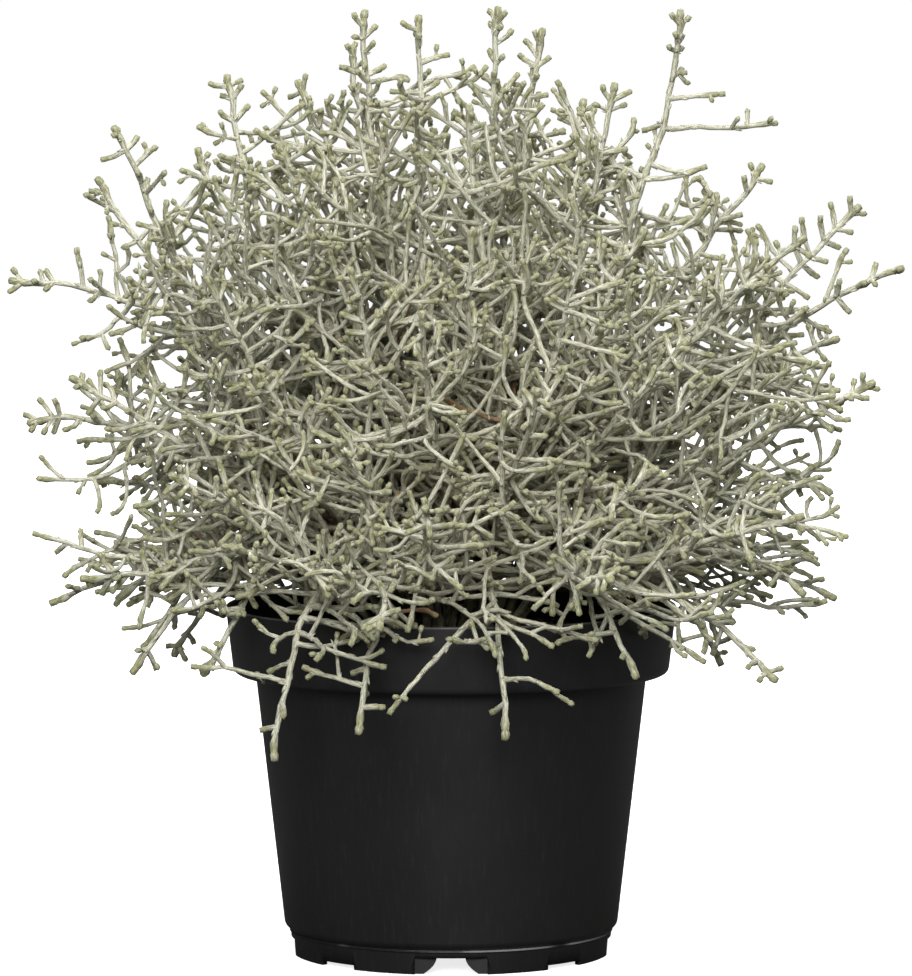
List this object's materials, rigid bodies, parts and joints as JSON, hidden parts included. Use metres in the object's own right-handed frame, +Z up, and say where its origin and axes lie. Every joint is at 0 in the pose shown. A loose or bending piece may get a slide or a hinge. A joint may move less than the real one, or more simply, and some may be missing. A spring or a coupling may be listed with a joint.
{
  "type": "potted cushion bush",
  "caption": "Round nursery pot with a rim band and notched foot, filled with compost and a dense dome of thin, forking, silver-grey felted stems.",
  "frame": {"origin": "on the pot's axis, at the level of the surface that its foot ring stands on", "axes": "+Z up along the pot's axis; the pictured side faces -Y, and +X is to its right"},
  "size_m": [0.2368, 0.2189, 0.2511],
  "materials": {
    "black_plastic": "moulded, satin, faintly brushed",
    "compost": "coarse, crumbly, fibrous",
    "silver_felt": "felted, pale silver-grey, greener at the tips"
  },
  "bodies": {
    "root": {"pot": "black_plastic", "soil": "compost", "spray_01": "silver_felt", "spray_02": "silver_felt", "spray_03": "silver_felt", "spray_04": "silver_felt", "spray_05": "silver_felt", "spray_06": "silver_felt", "spray_07": "silver_felt", "spray_08": "silver_felt", "spray_09": "silver_felt", "spray_10": "silver_felt", "spray_11": "silver_felt", "spray_12": "silver_felt", "spray_13": "silver_felt", "spray_14": "silver_felt", "spray_15": "silver_felt", "spray_16": "silver_felt", "spray_17": "silver_felt", "spray_18": "silver_felt", "spray_19": "silver_felt", "spray_20": "silver_felt"}
  },
  "joints": []
}
